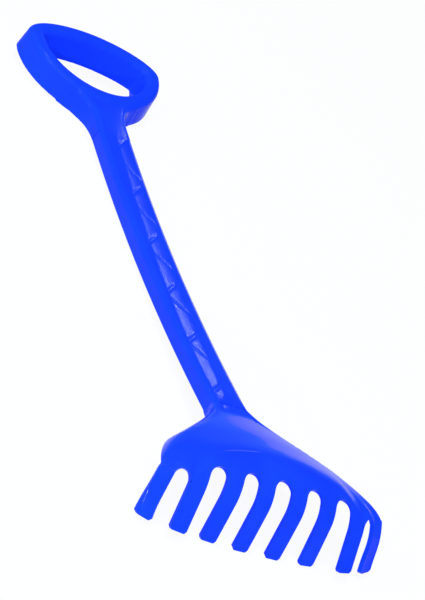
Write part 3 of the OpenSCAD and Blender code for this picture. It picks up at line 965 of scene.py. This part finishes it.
def make_head():
    """Hood and tines, cut apart from one object by the regions of its faces."""
    points, faces, regions = head_skin()
    obj = head_object(points, faces, regions)
    done = obj.evaluated_get(bpy.context.evaluated_depsgraph_get()).to_mesh()
    verts = np.array([v.co[:] for v in done.vertices])
    verts[:, 2] = np.maximum(verts[:, 2], 0)
    corner = np.array([n.vector[:] for n in done.corner_normals])
    groups = {i: ([], []) for i in range(max(regions) + 1)}
    for poly in done.polygons:
        fs, ns = groups[poly.material_index]
        fs.append(list(poly.vertices))
        ns.append(corner[poly.loop_start:poly.loop_start + poly.loop_total])
    for region, (fs, ns) in groups.items():
        used = sorted({i for f in fs for i in f})
        index = {v: i for i, v in enumerate(used)}
        p = verts[used]
        fs, ns = closed(p, [[index[i] for i in f] for f in fs], ns)
        if region == 0:
            piece("hood_skin", p, fs, ns, ["head_hood"])
        else:
            piece("tine_%d_skin" % region, p, fs, ns, ["tine_%d" % region])
    bpy.data.objects.remove(obj)


def dress_rib():
    """The rib stays the CAD's own solid, in the same plastic."""
    rib = next(o for o in bpy.data.objects if o.type == "MESH" and "shaft_ribs" in o.name)
    rib.data.materials.clear()
    rib.data.materials.append(BLUE)


# Floor, lights and camera, in metres

def floor_white():
    """Pale grey that takes the shadow; the camera and reflections see it mixed with a white glow."""
    white_share = 0.94
    mat = bpy.data.materials.new("floor_white")
    mat.use_nodes = True
    tree = mat.node_tree
    link = tree.links.new
    grey = tree.nodes["Principled BSDF"]
    grey.inputs["Base Color"].default_value = (0.86, 0.87, 0.88, 1)
    grey.inputs["Roughness"].default_value = 0.9
    glow = add_node(tree, "ShaderNodeEmission", {"Color": (1, 1, 1, 1)})
    blend = add_node(tree, "ShaderNodeMixShader")
    rays = add_node(tree, "ShaderNodeLightPath")
    seen = rays.outputs["Is Camera Ray"]
    for kind in ("Is Glossy Ray", "Is Transmission Ray"):
        either = add_node(tree, "ShaderNodeMath")
        either.operation = "MAXIMUM"
        link(seen, either.inputs[0])
        link(rays.outputs[kind], either.inputs[1])
        seen = either.outputs[0]
    share = add_node(tree, "ShaderNodeMath", {1: white_share})
    share.operation = "MULTIPLY"
    link(seen, share.inputs[0])
    link(share.outputs[0], blend.inputs["Fac"])
    link(grey.outputs[0], blend.inputs[1])
    link(glow.outputs[0], blend.inputs[2])
    link(blend.outputs[0], tree.nodes["Material Output"].inputs["Surface"])
    return mat


def make_floor():
    """Floor that is wide enough to fill the picture."""
    half = 4
    mesh = bpy.data.meshes.new("floor")
    corners = [(-half, -half, 0), (half, -half, 0), (half, half, 0), (-half, half, 0)]
    mesh.from_pydata(corners, [], [(0, 1, 2, 3)])
    floor = add_object("floor", mesh)
    mesh.materials.append(floor_white())


def make_sky():
    """Light from all round, blue and bright near the horizon and dim above."""
    world = bpy.data.worlds.new("studio")
    bpy.context.scene.world = world
    world.use_nodes = True
    tree = world.node_tree
    place = add_node(tree, "ShaderNodeTexCoord")
    split = add_node(tree, "ShaderNodeSeparateXYZ")
    band = add_ramp(tree, ((0.02, (0.30, 0.72, 0.95, 1)), (0.42, (0.03, 0.05, 0.07, 1))))
    tree.links.new(place.outputs["Generated"], split.inputs[0])
    tree.links.new(split.outputs["Z"], band.inputs["Fac"])
    tree.links.new(band.outputs["Color"], tree.nodes["Background"].inputs["Color"])


def lamp(name, at, aim, size, power, color):
    """Rectangular lamp that faces the point aim."""
    light = bpy.data.lights.new(name, "AREA")
    light.shape = "RECTANGLE"
    light.size, light.size_y = size
    light.energy = power
    light.color = color
    obj = add_object(name, light)
    obj.location = at
    obj.rotation_euler = (Vector(aim) - Vector(at)).to_track_quat("-Z", "Y").to_euler()
    return obj


def make_lamps():
    """A large soft lamp, three small ones, and a strip that draws the streak on the shaft's front."""
    lamp("softbox", (-0.85, -0.75, 1.25), (0, -0.1, 0), (1.1, 0.9), 21, (0.80, 0.93, 1.0))
    lamp("key", (-0.25, 0.35, 1.75), (0, 0, 0), (0.10, 0.10), 15, (0.9, 0.96, 1.0))
    lamp("side", (-1.6, 0.3, 0.8), (0, 0, 0), (0.4, 0.4), 7, (0.75, 0.92, 1.0))
    lamp("spark", (-0.1, -1.7, 0.4), (0, -0.15, 0), (0.05, 0.05), 7, (0.85, 0.94, 1.0))
    aim, shift = Vector((0, 0, 0.02)), 0.05
    strip = lamp("strip", (0.678, 1.022, 0.65), aim, (0.010, 0.18), 0.12, (0.8, 0.92, 1.0))
    back = (strip.location - aim).normalized()
    along = Vector((0.376, -0.52, -0.767))
    along = (along - back * along.dot(back)).normalized()
    strip.location += along * shift
    strip.rotation_euler = Matrix((along.cross(back), along, back)).transposed().to_euler()


def make_camera():
    """The photograph's camera: a picture 600 pixels high, with the focal length given in its pixels."""
    focal_px, picture_px, sensor = 2225.81, 600, 36
    at = (-0.6435, MID_S * MM - 1.0593, 0.5750)
    right = Vector((0.7934, -0.2647, 0.5481)).normalized()
    ahead = Vector((0.5515, 0.6936, -0.4634)).normalized()
    turn = Matrix((right, right.cross(ahead), -ahead)).transposed().to_4x4()
    data = bpy.data.cameras.new("camera")
    data.sensor_width = sensor
    data.lens = focal_px / picture_px * sensor
    data.clip_start = 0.01
    camera = add_object("camera", data)
    camera.matrix_world = Matrix.Translation(at) @ turn
    bpy.context.scene.camera = camera


make_grip()
make_shaft()
make_head()
dress_rib()
make_floor()
make_sky()
make_lamps()
make_camera()
bpy.context.scene.view_settings.view_transform = "Standard"
